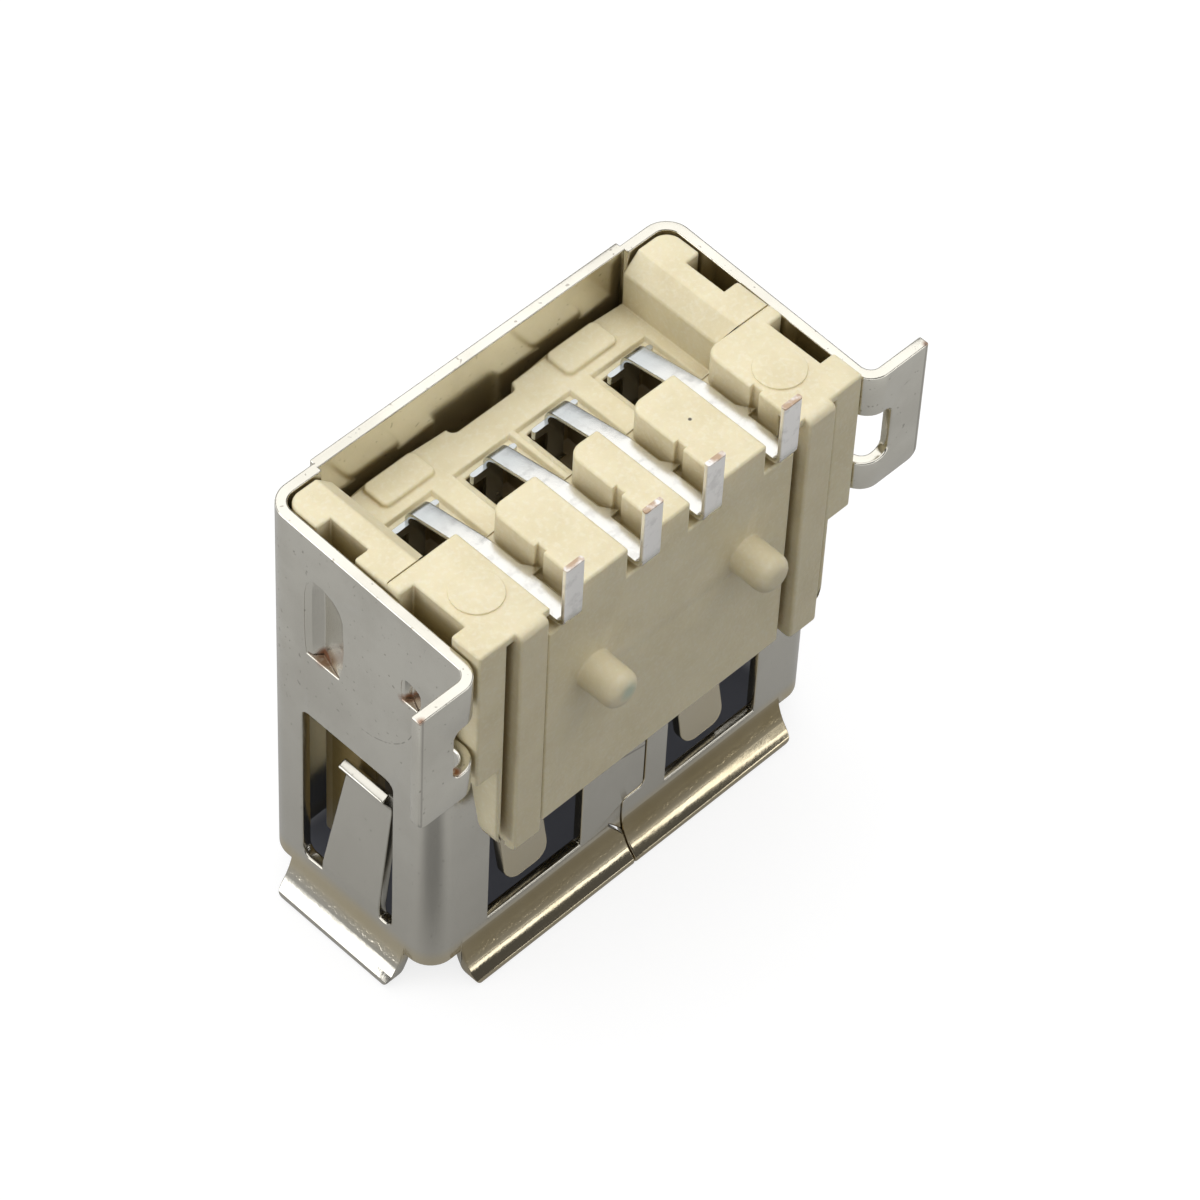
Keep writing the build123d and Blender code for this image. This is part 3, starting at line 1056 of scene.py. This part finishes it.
@dataclass
class View:
    """The camera: its angles in radians, and where it aims."""

    azimuth: float = -0.82572
    elevation: float = 0.88547
    roll: float = 0.05481
    distance_mm: float = 136.9412
    right_mm: float = 1.24982
    up_mm: float = 0.84912
    height_mm: float = 6.0
    lens_mm: float = 170.674
    sensor_mm: float = 36.0

    def build(self) -> bpy.types.Object:
        """Builds the camera.

        Returns:
            The camera.
        """
        a, e, r = self.azimuth, self.elevation, self.roll
        back = Vector((math.sin(a) * math.cos(e), -math.cos(a) * math.cos(e), math.sin(e)))
        right = Vector((math.cos(a), math.sin(a), 0.0))
        up = back.cross(right)
        target = Vector((0.0, 0.0, self.height_mm)) + self.right_mm * right + self.up_mm * up
        x = math.cos(r) * right + math.sin(r) * up
        y = back.cross(x)
        data = bpy.data.cameras.new("camera")
        data.sensor_width = self.sensor_mm
        data.lens = self.lens_mm
        data.clip_start = 0.001
        data.clip_end = 10.0
        camera = added("camera", data)
        turn = Matrix((x, y, back)).transposed().to_4x4()
        camera.matrix_world = Matrix.Translation((target + self.distance_mm * back) * MM) @ turn
        bpy.context.scene.camera = camera
        return camera


@dataclass(frozen=True)
class Lamp:
    """One soft box, in metres. A white page in plain light has a glow of 1."""

    name: str
    place: tuple
    aim: tuple
    size: tuple
    glow: float

    def build(self) -> None:
        """Builds the lamp."""
        data = bpy.data.lights.new(self.name, "AREA")
        data.shape = "RECTANGLE"
        data.size, data.size_y = self.size
        data.energy = self.glow * math.pi * self.size[0] * self.size[1]
        lamp = added(self.name, data)
        lamp.location = self.place
        ahead = Vector(self.aim) - Vector(self.place)
        lamp.rotation_euler = ahead.to_track_quat("-Z", "Y").to_euler()


@dataclass
class Studio:
    """Floor, world and lamps."""

    floor_m: float = 3.0
    shown: float = 0.80
    mirrored: float = 0.22
    floor_colour: tuple = (0.25, 0.25, 0.25)
    # painted shade of the floor inside the mouth, and its faint glow to the camera
    painted_mouth_shade: tuple = (0.06, 0.065, 0.08)
    painted_mouth_glow: tuple = (0.031, 0.032, 0.037)
    mouth_x_mm: tuple = (-5.5, 6.0)
    mouth_y_mm: tuple = (-1.9, 2.6)
    skew: tuple = (1.2, 1.05)
    steep: float = 9.0
    fade_mm: tuple = (0.2, 2.8)
    # painted reflection: the floor looks dark to the metal around this spot and brighter far
    # away
    facing: Spot = Spot((-9.6, -6.4, 0.0), 1.5, 5.2)
    around: Spot = Spot((0.0, 0.0, 0.0), 17.0, 60.0)
    world: tuple = (0.12, 0.12, 0.1224)
    lamps: tuple = (
        Lamp("over", (0.06, 0.28, 0.60), (0.06, 0.28, 0.0), (1.50, 1.60), 1.31),
        Lamp("left", (-0.50, 0.28, 0.13), (0.0, 0.0, 0.007), (0.35, 0.28), 2.8),
        Lamp("front_low", (0.30, -0.50, 0.045), (0.0, 0.0, 0.007), (0.35, 0.05), 2.6),
        Lamp("front_high", (0.30, -0.50, 0.28), (0.0, 0.0, 0.007), (0.35, 0.07), 1.6),
    )

    def mouth(self, sheet: NodeSheet) -> Wire:
        """Makes the mask of the painted shade on the floor inside the mouth, which fades out
        behind the two far walls.

        Args:
            sheet: sheet of the floor's material.

        Returns:
            One inside the mouth.
        """
        x, y, _ = sheet.place()
        over_x = (x - self.mouth_x_mm[1]).larger(0.0)
        over_y = (y - self.mouth_y_mm[1]).larger(0.0)
        under_x = self.mouth_x_mm[0] - x + self.skew[0] * over_y
        under_y = self.mouth_y_mm[0] - y + self.skew[1] * over_x
        aside = over_x.larger(under_x * self.steep)
        ahead = over_y.larger(under_y * self.steep)
        return 1.0 - (aside * aside + ahead * ahead).root().rise(*self.fade_mm)

    def floor(self) -> bpy.types.Object:
        """Builds the pale floor, with painted shade inside the mouth that stands on it and
        painted reflections that only the metal sees.

        Returns:
            The floor.
        """
        half = self.floor_m / 2
        corners = [(-half, -half, 0), (half, -half, 0), (half, half, 0), (-half, half, 0)]
        mesh = bpy.data.meshes.new("floor")
        mesh.from_pydata(corners, [], [(0, 1, 2, 3)])
        piece = added("floor", mesh)
        material = bpy.data.materials.new("floor")
        sheet = NodeSheet.of(material)
        path = sheet.add("ShaderNodeLightPath")
        seen = path.out("Is Camera Ray").larger(path.out("Is Transmission Ray"))
        # painted shade on the floor inside the mouth
        inside = self.mouth(sheet)
        # painted reflection: how bright the floor looks in the metal changes by place
        far = 1.0 - sheet.spot(self.around)
        glossy = self.mirrored + far - sheet.spot(self.facing) * self.mirrored
        sheet.surface(
            # painted shade inside the mouth, in colour and in glow
            Base_Color=sheet.blend(inside, self.floor_colour, self.painted_mouth_shade),
            Roughness=1.0,
            Emission_Color=sheet.blend(inside, (1.0, 1.0, 1.0), self.painted_mouth_glow),
            Emission_Strength=seen * self.shown + path.out("Is Glossy Ray") * glossy,
        )
        mesh.materials.append(material)
        return piece

    def build(self) -> None:
        """Builds the studio."""
        self.floor()
        world = bpy.data.worlds.new("studio")
        bpy.context.scene.world = world
        sheet = NodeSheet.of(world)
        plain = {"Color": (*self.world, 1.0), "Strength": 1.0}
        light = sheet.add("ShaderNodeBackground", {}, plain)
        sheet.add("ShaderNodeOutputWorld", {}, {"Surface": light.out("Background")})
        for lamp in self.lamps:
            lamp.build()
        bpy.context.scene.view_settings.view_transform = "Standard"


def main() -> None:
    """Builds the object, the camera and the studio."""
    logging.basicConfig(level=logging.INFO, format="%(name)s: %(message)s")
    for maker in (Shell(), Housing(), Contacts()):
        for piece in maker.build():
            LOG.info("%s: %d faces", piece.name, len(piece.data.polygons))
    View().build()
    Studio().build()


if __name__ == "__main__":
    main()
